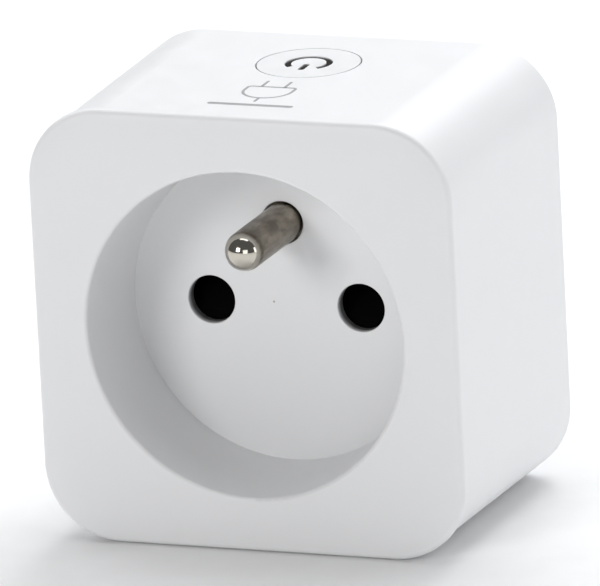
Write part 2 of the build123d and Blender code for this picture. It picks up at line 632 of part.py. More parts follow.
def switch_plunger():
    collar_top = PLUNGER_BOTTOM + PLUNGER_COLLAR_THICKNESS
    stem = standing(0, BUTTON_DEPTH, PLUNGER_RADIUS, PLUNGER_BOTTOM, PLUNGER_TOP)
    return stem + standing(0, BUTTON_DEPTH, PLUNGER_COLLAR_RADIUS, PLUNGER_BOTTOM, collar_top)


def status_led():
    """Lamp beside the switch, under the button's light guide."""
    levels = (CONTROL_BOARD_TOP, LED_BASE_TOP, LED_LENS_TOP)
    stages = []
    for (half_x, half_y), z in zip((LED_BASE_HALF, LED_LENS_HALF), zip(levels, levels[1:])):
        span_x = (LED_MIDDLE_X - half_x, LED_MIDDLE_X + half_x)
        stages.append(block(span_x, (BUTTON_DEPTH - half_y, BUTTON_DEPTH + half_y), z))
    return union(*stages)


# ---- boards ----
CONTROL_BOARD_HALF_X = 16.0
CONTROL_BOARD_Y = (-20.4, -5.2)
CONTROL_BOARD_CORNER = 1.0
WIFI_BOARD_HALF_X = 7.6
WIFI_BOARD_Y = (-20.0, -7.4)
WIFI_BOARD_BOTTOM = CONTROL_BOARD_BOTTOM - 0.8
SHIELD_HALF_X = 5.8
SHIELD_Y = (-15.6, -7.8)
SHIELD_BOTTOM = CONTROL_BOARD_BOTTOM - 2.7
SHIELD_WALL = 0.2
HEADER_X = (8.4, 15.6)
HEADER_FRONT = -6.3
HEADER_Z = (12.0, 14.5)
HEADER_PINS = 4
HEADER_PIN_FIRST = 9.4
HEADER_PIN_PITCH = 1.75
HEADER_PIN_HALF = 0.3
HEADER_PIN_Y = (-6.0, -5.4)
POWER_BOARD_HALF_X = 22.5
POWER_BOARD_Z = (-23.6, 15.8)
POWER_BOARD_CLEAR = 24.0  # beyond the board's edges
POST_ROOM = 0.4
TAIL_HOLE_RADIUS = 1.25
STRAP_OPENING_HALF = 4.0
STRAP_OPENING_Z = (4.8, 14.0)


def control_board():
    span_x = (-CONTROL_BOARD_HALF_X, CONTROL_BOARD_HALF_X)
    board = block(span_x, CONTROL_BOARD_Y, (CONTROL_BOARD_BOTTOM, CONTROL_BOARD_TOP))
    return fillet(board.edges().filter_by(Axis.Z), CONTROL_BOARD_CORNER)


def wifi_board():
    span_x = (-WIFI_BOARD_HALF_X, WIFI_BOARD_HALF_X)
    return block(span_x, WIFI_BOARD_Y, (WIFI_BOARD_BOTTOM, CONTROL_BOARD_BOTTOM))


def wifi_shield():
    """Folded can over the radio chip, open towards its board."""
    inner_half = SHIELD_HALF_X - SHIELD_WALL
    inner_y = (SHIELD_Y[0] + SHIELD_WALL, SHIELD_Y[1] - SHIELD_WALL)
    can = block((-SHIELD_HALF_X, SHIELD_HALF_X), SHIELD_Y, (SHIELD_BOTTOM, WIFI_BOARD_BOTTOM))
    return can - block((-inner_half, inner_half), inner_y, (SHIELD_BOTTOM + SHIELD_WALL, WIFI_BOARD_BOTTOM))


def board_header():
    """Black pin bar standing on the power board, its pins turned up to the control board."""
    bar = block(HEADER_X, (HEADER_FRONT, POWER_BOARD_FRONT), HEADER_Z)
    for index in range(HEADER_PINS):
        x = HEADER_PIN_FIRST + index * HEADER_PIN_PITCH
        pin_x = (x - HEADER_PIN_HALF, x + HEADER_PIN_HALF)
        bar = bar + block(pin_x, HEADER_PIN_Y, (HEADER_Z[1], CONTROL_BOARD_BOTTOM))
    return bar


def power_board():
    """Main board, notched round the screw posts, with openings for the pins' tails and the earth strap."""
    thickness_y = (POWER_BOARD_FRONT, POWER_BOARD_BACK)
    board = block((-POWER_BOARD_HALF_X, POWER_BOARD_HALF_X), thickness_y, POWER_BOARD_Z)
    notch_inner = POST_OFFSET - POST_RADIUS - POST_ROOM
    for side_x, side_z in corners(1):
        notch_x = sorted((side_x * notch_inner, side_x * POWER_BOARD_CLEAR))
        notch_z = sorted((side_z * notch_inner, side_z * POWER_BOARD_CLEAR))
        board = board - block(notch_x, thickness_y, notch_z)
    for x in (-PIN_X, PIN_X):
        board = board - rod(x, 0, TAIL_HOLE_RADIUS, POWER_BOARD_FRONT, POWER_BOARD_BACK)
    return board - block((-STRAP_OPENING_HALF, STRAP_OPENING_HALF), thickness_y, STRAP_OPENING_Z)


# ---- relay, lying below the contact carrier ----
RELAY_X = (-9.2, 9.2)
RELAY_Z = (-23.3, -13.5)
RELAY_MIDDLE_Z = sum(RELAY_Z) / 2
RELAY_FRONT = POWER_BOARD_FRONT - 15.2
RELAY_WALL = 0.7
RELAY_CORNER = 0.5
RELAY_FOOT_FRONT = POWER_BOARD_FRONT - 1.0
RELAY_PLINTH_FRONT = POWER_BOARD_FRONT - 2.4
COIL_X = -3.0
COIL_RADIUS = 3.5
COIL_Y = (-15.0, -6.8)
COIL_BORE_RADIUS = 1.8
COIL_FLANGE_RADIUS = 4.0
COIL_FLANGE_THICKNESS = 0.6
CORE_RADIUS = 1.75
CORE_FRONT = -15.2
YOKE_HALF_Z = 3.2
YOKE_SIDE_X = (-8.2, -7.2)
YOKE_SIDE_FRONT = -15.9
YOKE_FOOT_RIGHT = 0.6
YOKE_FOOT_FRONT = -6.75
YOKE_BACK = -6.2
ARMATURE_X = (-7.6, 1.2)  # its left edge is the hinge
ARMATURE_Y = (-16.7, -15.95)
ARMATURE_HALF_Z = 3.0
LEAF_X = (-6.0, 7.6)
LEAF_THICKNESS = 0.3
LEAF_HALF_Z = 2.0
CONTACT_X = 6.0
MOVING_CONTACT_RADIUS = 1.3
MOVING_CONTACT_BACK = -15.9
FIXED_CONTACT_RADIUS = 1.4
FIXED_CONTACT_Y = (-14.9, -14.3)
CONTACT_ARM_X = (4.6, 8.0)
CONTACT_ARM_THICKNESS = 0.5
CONTACT_LEG_BACK = -6.3


def relay_span(inset, axis_span):
    return (axis_span[0] + inset, axis_span[1] - inset)


def relay_base():
    foot = block(RELAY_X, (RELAY_FOOT_FRONT, POWER_BOARD_FRONT), RELAY_Z)
    inset = RELAY_WALL + FIT_GAP
    plinth_y = (RELAY_PLINTH_FRONT, RELAY_FOOT_FRONT)
    return foot + block(relay_span(inset, RELAY_X), plinth_y, relay_span(inset, RELAY_Z))


def relay_case():
    case = block(RELAY_X, (RELAY_FRONT, RELAY_FOOT_FRONT), RELAY_Z)
    case = fillet(case.edges().filter_by(Axis.Y), RELAY_CORNER)
    hollow_y = (RELAY_FRONT + RELAY_WALL, RELAY_FOOT_FRONT)
    return case - block(relay_span(RELAY_WALL, RELAY_X), hollow_y, relay_span(RELAY_WALL, RELAY_Z))


def relay_coil():
    """Bobbin with its winding, open through the middle for the core."""
    z = RELAY_MIDDLE_Z
    front, back = COIL_Y
    coil = rod(COIL_X, z, COIL_RADIUS, front, back)
    for flange_front in (front, back - COIL_FLANGE_THICKNESS):
        coil = coil + rod(COIL_X, z, COIL_FLANGE_RADIUS, flange_front, flange_front + COIL_FLANGE_THICKNESS)
    return coil - rod(COIL_X, z, COIL_BORE_RADIUS, front, back)


def relay_core():
    return rod(COIL_X, RELAY_MIDDLE_Z, CORE_RADIUS, CORE_FRONT, COIL_Y[1])


def relay_yoke():
    """Iron angle that carries the flux round the coil to the armature's hinge edge."""
    span_z = (RELAY_MIDDLE_Z - YOKE_HALF_Z, RELAY_MIDDLE_Z + YOKE_HALF_Z)
    side = block(YOKE_SIDE_X, (YOKE_SIDE_FRONT, YOKE_BACK), span_z)
    return side + block((YOKE_SIDE_X[0], YOKE_FOOT_RIGHT), (YOKE_FOOT_FRONT, YOKE_BACK), span_z)


def relay_armature():
    return block(ARMATURE_X, ARMATURE_Y, (RELAY_MIDDLE_Z - ARMATURE_HALF_Z, RELAY_MIDDLE_Z + ARMATURE_HALF_Z))


def relay_moving_contact():
    """Copper spring riveted to the armature, with the moving contact at its end."""
    z = RELAY_MIDDLE_Z
    leaf_back = ARMATURE_Y[0]
    leaf = block(LEAF_X, (leaf_back - LEAF_THICKNESS, leaf_back), (z - LEAF_HALF_Z, z + LEAF_HALF_Z))
    return leaf + rod(CONTACT_X, z, MOVING_CONTACT_RADIUS, leaf_back, MOVING_CONTACT_BACK)


def relay_fixed_contact():
    """Contact head on an angled arm whose leg goes back to the board."""
    z = RELAY_MIDDLE_Z
    span_z = (z - LEAF_HALF_Z, z + LEAF_HALF_Z)
    head_back = FIXED_CONTACT_Y[1]
    head = rod(CONTACT_X, z, FIXED_CONTACT_RADIUS, *FIXED_CONTACT_Y)
    arm = block(CONTACT_ARM_X, (head_back, head_back + CONTACT_ARM_THICKNESS), span_z)
    leg_x = (CONTACT_ARM_X[1] - CONTACT_ARM_THICKNESS, CONTACT_ARM_X[1])
    return union(head, arm, block(leg_x, (head_back, CONTACT_LEG_BACK), span_z))


# ---- parts on the power board ----
CAPACITOR_X = 19.3
CAPACITOR_Z = -10.6
CAPACITOR_RADIUS = 4.0
CAPACITOR_EDGE = 0.5
CAPACITOR_GROOVE_Y = (POWER_BOARD_FRONT - 2.2, POWER_BOARD_FRONT - 1.6)
CAPACITOR_GROOVE_DEPTH = 0.3
SUPPLY_CAPACITOR_HEIGHT = 12.0
OUTPUT_CAPACITOR_HEIGHT = 11.0
FILM_BOX_X = (-22.6, -16.8)
FILM_BOX_HEIGHT = 11.0
FILM_BOX_Z = (-5.0, 8.0)
FILM_BOX_EDGE = 0.4
CHOKE_PLACE = (19.2, -1.0)
CHOKE_HEIGHT = 9.0
CHOKE_WINDING_RADIUS = 2.6
CHOKE_FLANGE_RADIUS = 3.6
CHOKE_FLANGE_THICKNESS = 1.2
VARISTOR_MIDDLE = (19.5, POWER_BOARD_FRONT - 5.6, 8.4)
VARISTOR_RADIUS = 4.6
VARISTOR_THICKNESS = 3.6
VARISTOR_EDGE = 0.9
FUSE_PLACE = (12.9, -10.2)
FUSE_RADIUS = 1.9
FUSE_HEIGHT = 8.0
FUSE_EDGE = 0.8
CHIP_STAND_OFF = 0.1
CHIP_LEG_REACH = 1.0
CHIP_LEG_HALF = 0.2
CHIP_LEG_THICKNESS = 0.3
CHIP_HEIGHT = 4.0
SHUNT_X = (5.2, 11.5)
SHUNT_THICKNESS = 0.6
SHUNT_Z = (-8.2, -5.0)


def can_capacitor(x, height):
    """Electrolytic capacitor standing on the board's front, with its rolled groove near the foot."""
    can = rod(x, CAPACITOR_Z, CAPACITOR_RADIUS, POWER_BOARD_FRONT - height, POWER_BOARD_FRONT)
    can = fillet(can.faces().sort_by(Axis.Y)[0].edges(), CAPACITOR_EDGE)
    groove = rod(x, CAPACITOR_Z, CAPACITOR_RADIUS + CUT_CLEAR, *CAPACITOR_GROOVE_Y)
    groove = groove - rod(x, CAPACITOR_Z, CAPACITOR_RADIUS - CAPACITOR_GROOVE_DEPTH, *CAPACITOR_GROOVE_Y)
    return can - groove


def film_capacitor():
    box = block(FILM_BOX_X, (POWER_BOARD_FRONT - FILM_BOX_HEIGHT, POWER_BOARD_FRONT), FILM_BOX_Z)
    return fillet(box.edges(), FILM_BOX_EDGE)


def filter_choke():
    """Drum choke: a winding between two ferrite flanges."""
    front = POWER_BOARD_FRONT - CHOKE_HEIGHT
    drum = rod(*CHOKE_PLACE, CHOKE_WINDING_RADIUS, front, POWER_BOARD_FRONT)
    for flange_front in (front, POWER_BOARD_FRONT - CHOKE_FLANGE_THICKNESS):
        flange_back = flange_front + CHOKE_FLANGE_THICKNESS
        drum = drum + rod(*CHOKE_PLACE, CHOKE_FLANGE_RADIUS, flange_front, flange_back)
    return drum


def varistor():
    """Coated disc standing on edge."""
    disc = Pos(*VARISTOR_MIDDLE) * Rot(0, 90, 0) * Cylinder(VARISTOR_RADIUS, VARISTOR_THICKNESS)
    return fillet(disc.edges(), VARISTOR_EDGE)


def fuse_resistor():
    barrel = rod(*FUSE_PLACE, FUSE_RADIUS, POWER_BOARD_FRONT - FUSE_HEIGHT, POWER_BOARD_FRONT)
    return fillet(barrel.faces().sort_by(Axis.Y)[0].edges(), FUSE_EDGE)


def chip(x, z, width, thickness, legs):
    """Small gull-wing package on the board's back, legs in two rows."""
    back = POWER_BOARD_BACK
    half_height = CHIP_HEIGHT / 2
    package_x = (x - width / 2, x + width / 2)
    package = block(package_x, (back + CHIP_STAND_OFF, back + thickness), (z - half_height, z + half_height))
    pitch = width / legs
    for index in range(legs):
        middle = x + (index + 0.5) * pitch - width / 2
        leg_x = (middle - CHIP_LEG_HALF, middle + CHIP_LEG_HALF)
        for side in (-1, 1):
            leg_z = sorted((z + side * half_height, z + side * (half_height + CHIP_LEG_REACH)))
            package = package + block(leg_x, (back, back + CHIP_LEG_THICKNESS), leg_z)
    return package


def shunt_resistor():
    return block(SHUNT_X, (POWER_BOARD_BACK, POWER_BOARD_BACK + SHUNT_THICKNESS), SHUNT_Z)


# ---- write every sub-part ----
os.makedirs("parts", exist_ok=True)

save("front_cover", front_cover())
save("socket_floor", socket_floor())
save("body_shell", body_shell())
save("rear_cover", rear_cover())
save("plug_boss", plug_boss())
save("pin_plate", pin_plate())
save("cover_screws", cover_screws())
save("line_pin", plug_pin(-1))
save("neutral_pin", plug_pin(1))
save("socket_earth_pin", socket_earth_pin())
save("earth_strap", earth_strap())
save("earth_band", earth_band())
save("plug_earth_sleeve", plug_earth_sleeve())
save("contact_carrier", contact_carrier())
save("line_contact", socket_contact(-1))
save("neutral_contact", socket_contact(1))
save("safety_shutter", safety_shutter())
save("shutter_spring", shutter_spring())
save("button_cap", button_cap())
save("button_light_guide", button_light_guide())
save("switch_base", switch_base())
save("switch_frame", switch_frame())
save("switch_dome", switch_dome())
save("switch_plunger", switch_plunger())
save("status_led", status_led())
save("control_board", control_board())
save("wifi_board", wifi_board())
save("wifi_shield", wifi_shield())
save("board_header", board_header())
save("power_board", power_board())
save("relay_base", relay_base())
save("relay_case", relay_case())
save("relay_coil", relay_coil())
save("relay_core", relay_core())
save("relay_yoke", relay_yoke())
save("relay_armature", relay_armature())
save("relay_moving_contact", relay_moving_contact())
save("relay_fixed_contact", relay_fixed_contact())
save("supply_capacitor", can_capacitor(-CAPACITOR_X, SUPPLY_CAPACITOR_HEIGHT))
save("output_capacitor", can_capacitor(CAPACITOR_X, OUTPUT_CAPACITOR_HEIGHT))
save("film_capacitor", film_capacitor())
save("filter_choke", filter_choke())
save("varistor", varistor())
save("fuse_resistor", fuse_resistor())
save("bridge_rectifier", chip(x=-7.5, z=-9.8, width=4.6, thickness=2.4, legs=2))
save("supply_chip", chip(x=-0.6, z=-9.8, width=5.0, thickness=1.6, legs=4))
save("metering_chip", chip(x=0, z=-2.0, width=9.6, thickness=1.6, legs=8))
save("shunt_resistor", shunt_resistor())
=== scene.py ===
"""The smart plug's looks: materials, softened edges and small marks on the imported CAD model, in a studio."""

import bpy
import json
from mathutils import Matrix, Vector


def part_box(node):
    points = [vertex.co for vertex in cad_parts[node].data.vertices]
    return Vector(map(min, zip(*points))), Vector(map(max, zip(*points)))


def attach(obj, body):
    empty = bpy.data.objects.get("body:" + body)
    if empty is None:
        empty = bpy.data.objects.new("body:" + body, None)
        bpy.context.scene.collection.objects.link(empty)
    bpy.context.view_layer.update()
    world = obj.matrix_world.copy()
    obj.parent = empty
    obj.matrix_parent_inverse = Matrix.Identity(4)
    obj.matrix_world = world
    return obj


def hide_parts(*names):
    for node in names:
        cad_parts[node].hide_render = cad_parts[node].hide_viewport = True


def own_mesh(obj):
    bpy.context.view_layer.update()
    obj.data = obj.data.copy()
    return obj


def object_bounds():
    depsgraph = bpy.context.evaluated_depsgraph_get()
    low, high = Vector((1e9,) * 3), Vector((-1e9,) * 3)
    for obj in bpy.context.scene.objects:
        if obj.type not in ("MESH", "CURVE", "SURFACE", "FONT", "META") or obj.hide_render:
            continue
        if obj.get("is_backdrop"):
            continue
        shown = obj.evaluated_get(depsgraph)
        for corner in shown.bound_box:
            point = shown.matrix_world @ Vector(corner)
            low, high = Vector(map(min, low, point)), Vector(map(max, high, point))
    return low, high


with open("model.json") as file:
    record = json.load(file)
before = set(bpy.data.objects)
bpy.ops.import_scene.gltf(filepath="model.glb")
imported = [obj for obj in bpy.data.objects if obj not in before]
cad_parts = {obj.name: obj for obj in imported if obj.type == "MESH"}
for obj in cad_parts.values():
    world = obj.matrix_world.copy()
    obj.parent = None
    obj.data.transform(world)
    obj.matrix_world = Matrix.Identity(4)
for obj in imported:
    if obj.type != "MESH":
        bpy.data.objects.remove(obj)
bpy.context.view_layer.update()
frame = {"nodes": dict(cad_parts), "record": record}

import json
import math

import bmesh
import bpy
from mathutils import Matrix, Vector

MM = 0.001
scene = bpy.context.scene
nodes = frame["nodes"]
mounts = {mount["name"]: mount for mount in frame["record"]["mounts"]}
LIVE_HOLE = Vector(mounts["socket_neutral_hole"]["pos_m"])
LIVE_HOLE_RADIUS = mounts["socket_neutral_hole"]["dims"]["r_mm"] * MM

# ---- camera: a long lens, a little above the socket's axis and to its right ----
CAMERA_AZIMUTH = math.radians(21.645)
CAMERA_ELEVATION = math.radians(16.017)
CAMERA_ROLL = math.radians(-2.921)
CAMERA_DISTANCE = 1.6
CAMERA_AIM = Vector((0, -12.4 * MM, 0))
CAMERA_SIDE = -2.273 * MM
CAMERA_RISE = -1.758 * MM
LENS = 804.0
SENSOR_WIDTH = 36.0
CLIP_END = 20.0


def add_camera():
    """The camera stands off from its aim point along its own axis, then slides a little sideways and down."""
    towards = Vector((
        math.sin(CAMERA_AZIMUTH) * math.cos(CAMERA_ELEVATION),
        -math.cos(CAMERA_AZIMUTH) * math.cos(CAMERA_ELEVATION),
        math.sin(CAMERA_ELEVATION),
    ))
    level = (-towards).cross(Vector((0, 0, 1))).normalized()
    upright = level.cross(-towards)
    right = math.cos(CAMERA_ROLL) * level + math.sin(CAMERA_ROLL) * upright
    up = -math.sin(CAMERA_ROLL) * level + math.cos(CAMERA_ROLL) * upright
    place = CAMERA_AIM + towards * CAMERA_DISTANCE + right * CAMERA_SIDE + up * CAMERA_RISE
    data = bpy.data.cameras.new("camera")
    data.lens = LENS
    data.sensor_width = SENSOR_WIDTH
    data.clip_end = CLIP_END
    camera = bpy.data.objects.new("camera", data)
    axes = Matrix((right, up, towards)).transposed()
    camera.matrix_world = Matrix.LocRotScale(place, axes.to_quaternion(), None)
    scene.collection.objects.link(camera)
    scene.camera = camera


# ---- studio ----
# Each softbox: name, place in metres, width, power in watts, colour.
NEUTRAL = (1.0, 1.0, 1.0)
COOL = (0.955, 0.975, 1.0)
SOFTBOXES = [
    ("top_light", (0.0, 0.15, 1.2), 0.9, 5.4, NEUTRAL),
    ("back_light", (0.0, 0.9, 0.9), 0.8, 8.9, COOL),
    ("back_left_light", (-0.9, 0.45, 0.8), 0.8, 4.6, COOL),
    ("back_right_light", (0.9, 0.7, 0.7), 0.8, 3.9, COOL),
    ("right_light", (1.3, 0.05, 0.15), 0.8, 3.85, COOL),
    ("front_left_light", (-0.45, -1.2, 0.42), 0.45, 5.1, NEUTRAL),
    ("front_low_light", (0.5, -1.28, 0.15), 0.6, 1.9, NEUTRAL),
]
WORLD_STRENGTH = 0.12
FLOOR_REACH = 4.0
FLOOR_WHITE = (0.93, 0.93, 0.93)


def add_softbox(name, place, width, power, color):
    data = bpy.data.lights.new(name, "AREA")
    data.size = width
    data.energy = power
    data.color = color
    light = bpy.data.objects.new(name, data)
    light.location = place
    light.rotation_euler = (CAMERA_AIM - Vector(place)).to_track_quat("-Z", "Y").to_euler()
    scene.collection.objects.link(light)


def add_floor():
    corners = [(-1, -1), (1, -1), (1, 1), (-1, 1)]
    mesh = bpy.data.meshes.new("floor")
    mesh.from_pydata([(x * FLOOR_REACH, y * FLOOR_REACH, 0) for x, y in corners], [], [(0, 1, 2, 3)])
    floor = bpy.data.objects.new("floor", mesh)
    floor.location.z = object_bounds()[0][2]
    mesh.materials.append(surface("floor_paper", FLOOR_WHITE, 0.9, grain=1.0 * MM, bump=0.02 * MM))
    scene.collection.objects.link(floor)
    floor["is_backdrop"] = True


def add_studio():
    for box in SOFTBOXES:
        add_softbox(*box)
    world = bpy.data.worlds.new("studio")
    world.use_nodes = True
    world.node_tree.nodes["Background"].inputs["Color"].default_value = (1, 1, 1, 1)
    world.node_tree.nodes["Background"].inputs["Strength"].default_value = WORLD_STRENGTH
    scene.world = world
    scene.view_settings.view_transform = "Standard"
    add_floor()


# ---- materials ----
MOULD_GRAIN = 0.12 * MM
MOULD_BUMP = 0.003 * MM
COLOR_BLOTCH = 6 * MM
GLOSS_BLOTCH = 2 * MM
LAYER_BLOTCH = 3 * MM
LAYER_VARIATION = 0.07
GLOSS_SPREAD = 0.04
WHITE = (0.84, 0.843, 0.85)
COPPER = (0.72, 0.34, 0.17)
# Finishes: colour, roughness and metallic.
TIN = ((0.74, 0.73, 0.70), 0.3, 1.0)
BLACK = ((0.02, 0.02, 0.022), 0.5, 0.0)
MIX_SOCKETS = {"RGBA": (0, 6, 7, 2), "FLOAT": (0, 2, 3, 0)}


class Shader:
    """A material's node tree, with short calls for the nodes that the finishes below are made of."""

    def __init__(self, name):
        self.material = bpy.data.materials.new(name)
        self.material.use_nodes = True
        self.tree = self.material.node_tree
        self.out = self.tree.nodes["Principled BSDF"]
        self.coordinates = self.tree.nodes.new("ShaderNodeTexCoord").outputs["Object"]

    def node(self, kind, inputs=None, **settings):
        made = self.tree.nodes.new(kind)
        for key, value in settings.items():
            setattr(made, key, value)
        for key, value in (inputs or {}).items():
            self.put(made.inputs[key], value)
        return made

    def put(self, socket, value):
        if isinstance(value, bpy.types.NodeSocket):
            self.tree.links.new(value, socket)
        elif isinstance(value, tuple) and len(value) == 3 and socket.type == "RGBA":
            socket.default_value = (*value, 1)
        else:
            socket.default_value = value

    def stretched(self, scale):
        """Object coordinates stretched along each axis, for brushed and drawn grain."""
        made = self.node("ShaderNodeVectorMath", {0: self.coordinates, 1: scale}, operation="MULTIPLY")
        return made.outputs[0]

    def noise(self, size, detail=3.0, place=None):
        """Noise from 0 to 1, whose blobs are about size metres across."""
        return self.node(
            "ShaderNodeTexNoise",
            {"Vector": place or self.coordinates, "Scale": 1 / size, "Detail": detail},
        ).outputs["Fac"]

    def ranged(self, value, low, high, start=0.3, stop=0.7):
        """value's range from start to stop, spread over low to high. The defaults are noise's usual range."""
        return self.node(
            "ShaderNodeMapRange",
            {"Value": value, "From Min": start, "From Max": stop, "To Min": low, "To Max": high},
        ).outputs["Result"]

    def math(self, operation, a, b=0.0):
        return self.node("ShaderNodeMath", {0: a, 1: b}, operation=operation).outputs[0]

    def along(self, axis):
        """One object coordinate, in metres."""
        return self.node("ShaderNodeSeparateXYZ", {0: self.coordinates}).outputs[axis]

    def mix(self, data_type, values):
        """A Mix node, whose sockets for the factor, A, B and the result have a place for each data type."""
        *places, result = MIX_SOCKETS[data_type]
        mixed = self.node("ShaderNodeMix", data_type=data_type)
        for place, value in zip(places, values):
            self.put(mixed.inputs[place], value)
        return mixed.outputs[result]

    def blend(self, share, a, b):
        """Colour a where share is 0, colour b where it is 1."""
        return self.mix("RGBA", (share, a, b))

    def blend_value(self, share, a, b):
        return self.mix("FLOAT", (share, a, b))

    def bump(self, height, depth, strength=1.0):
        """Adds relief of about depth metres over whatever relief is there."""
        made = self.node("ShaderNodeBump", {"Height": height, "Distance": depth, "Strength": strength})
        before = self.out.inputs["Normal"].links
        if before:
            self.put(made.inputs["Normal"], before[0].from_socket)
        self.put(self.out.inputs["Normal"], made.outputs["Normal"])

    def set(self, **inputs):
        for key, value in inputs.items():
            self.put(self.out.inputs[key.replace("_", " ")], value)


def shade(color, factor):
    return tuple(min(1.0, channel * factor) for channel in color)


def surface(name, color, roughness, grain=MOULD_GRAIN, bump=MOULD_BUMP, variation=0.03, **more):
    """A moulded or coated finish: slow colour variation, uneven gloss and fine grain."""
    made = Shader(name)
    slow = made.noise(COLOR_BLOTCH)
    fine = made.noise(grain, detail=2.0)
    made.set(
        Base_Color=made.blend(slow, shade(color, 1 - variation), shade(color, 1 + variation)),
        Roughness=made.ranged(made.noise(GLOSS_BLOTCH), roughness - GLOSS_SPREAD, roughness + GLOSS_SPREAD),
        **more,
    )
    made.bump(fine, bump)
    return made.material


def dress(slot_materials):
    """Gives each CAD node the material of its record slot."""
    slots = {part["node"]: part["material_slot"] for part in frame["record"]["subparts"]}
    for name, node in nodes.items():
        material = slot_materials[slots[name]]
        node.data.materials.clear()
        node.data.materials.append(material)


def layered(name, zone, base, other):
    """Two finishes on one moulded-in or assembled piece. zone(shader) is 0 on the first and 1 on the other.

    Each finish is (colour, roughness, metallic).
    """
    made = Shader(name)
    share = zone(made)
    slow = made.noise(LAYER_BLOTCH)
    colors = [
        made.blend(slow, shade(finish[0], 1 - LAYER_VARIATION), shade(finish[0], 1 + LAYER_VARIATION))
        for finish in (base, other)
    ]
    roughness = made.blend_value(share, base[1], other[1])
    made.set(
        Base_Color=made.blend(share, *colors),
        Roughness=made.math("ADD", roughness, made.ranged(slow, -GLOSS_SPREAD, GLOSS_SPREAD)),
        Metallic=made.blend_value(share, base[2], other[2]),
    )
    made.bump(made.noise(MOULD_GRAIN, detail=2.0), MOULD_BUMP)
    return made.material


def beyond(axis, limit):
    """Zone past a limit along one axis."""
    return lambda made: made.math("GREATER_THAN", made.along(axis), limit)


def away_from(axis, middle, distance):
    """Zone further than distance from middle along one axis, on both sides."""

    def zone(made):
        offset = made.math("ABSOLUTE", made.math("SUBTRACT", made.along(axis), middle))
        return made.math("GREATER_THAN", offset, distance)

    return zone


def between(axis, low, high):
    middle, half = (low + high) / 2, (high - low) / 2

    def zone(made):
        offset = made.math("ABSOLUTE", made.math("SUBTRACT", made.along(axis), middle))
        return made.math("LESS_THAN", offset, half)

    return zone


FLOW_SIZE = 14 * MM
SPECK_SIZE = 0.5 * MM
SPECK_SHARE = 0.2
TONE_VARIATION = 0.015
SATIN_BLOTCH = 3 * MM
SATIN_SPREAD = 0.05
SPARK_GRAIN = 0.16 * MM
SPARK_DEPTH = 0.004 * MM
FLOW_DEPTH = 0.03 * MM
# Painted shade on the live holes' walls: its grey, where it starts and is full behind the floor's front, and
# how far past the hole's radius it reaches.
HOLE_SHADE_GREY = (0.15, 0.15, 0.155)
HOLE_SHADE_START = 0.1 * MM  # behind the floor's front
HOLE_SHADE_FULL = 1.0 * MM
HOLE_SHADE_MARGIN = 0.06 * MM


def moulded_white(name, color=WHITE, roughness=0.42, painted_shade=None):
    """Satin plastic: spark-eroded grain and faint flow. Its optional painted-shade mask, a function of the
    shader, is 1 where dark grey painted shade covers the plastic.
    """
    made = Shader(name)
    flow = made.noise(FLOW_SIZE, detail=4.0)
    speck = made.noise(SPECK_SIZE, detail=1.0)
    shares = ((flow, 1 - SPECK_SHARE), (speck, SPECK_SHARE))
    tone = made.math("ADD", *(made.math("MULTIPLY", pattern, share) for pattern, share in shares))
    plastic = made.blend(tone, shade(color, 1 - TONE_VARIATION), shade(color, 1 + TONE_VARIATION))
    if painted_shade is not None:
        # Painted shade: dark grey over the plastic where the mask is 1.
        plastic = made.blend(painted_shade(made), plastic, HOLE_SHADE_GREY)
    made.set(
        Base_Color=plastic,
        Roughness=made.ranged(made.noise(SATIN_BLOTCH), roughness - SATIN_SPREAD, roughness + SATIN_SPREAD),
        IOR=1.5,
    )
    made.bump(made.noise(SPARK_GRAIN, detail=1.0), SPARK_DEPTH, strength=0.6)
    made.bump(flow, FLOW_DEPTH, strength=0.5)
    return made.material


def painted_hole_shade(made):
    """Painted shade: a mask on the live holes' walls behind the floor's rounded edge, where dark grey stands
    in for the shade deep in the holes.
    """
    floor_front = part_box("socket_floor")[0].y
    across = made.math("SUBTRACT", made.math("ABSOLUTE", made.along(0)), LIVE_HOLE.x)
    squares = [made.math("POWER", offset, 2.0) for offset in (across, made.along(2))]
    from_axis = made.math("SQRT", made.math("ADD", *squares))
    inside = made.math("LESS_THAN", from_axis, LIVE_HOLE_RADIUS + HOLE_SHADE_MARGIN)
    behind = made.ranged(made.along(1), 0.0, 1.0, floor_front + HOLE_SHADE_START, floor_front + HOLE_SHADE_FULL)
    return made.math("MULTIPLY", inside, behind)


DRAWN_GRAIN = (9000, 500, 9000)
DRAWN_ROUGHNESS = (0.30, 0.42)
DRAWN_RELIEF = 0.003 * MM
STAIN_SIZE = 1.3 * MM
STAIN_STRETCH = (1, 0.45, 1)
STAIN_EDGES = (0.36, 0.64)
STAIN_ROUGHNESS = 0.06
TURNING_PITCH = 1.2 * MM
TURNING_RELIEF = 0.002 * MM
POLISHED = (0.60, 0.565, 0.50)
POLISHED_ROUGHNESS = 0.09
POLISHED_LENGTH = 1.55 * MM
POLISHED_EDGE = 0.3 * MM


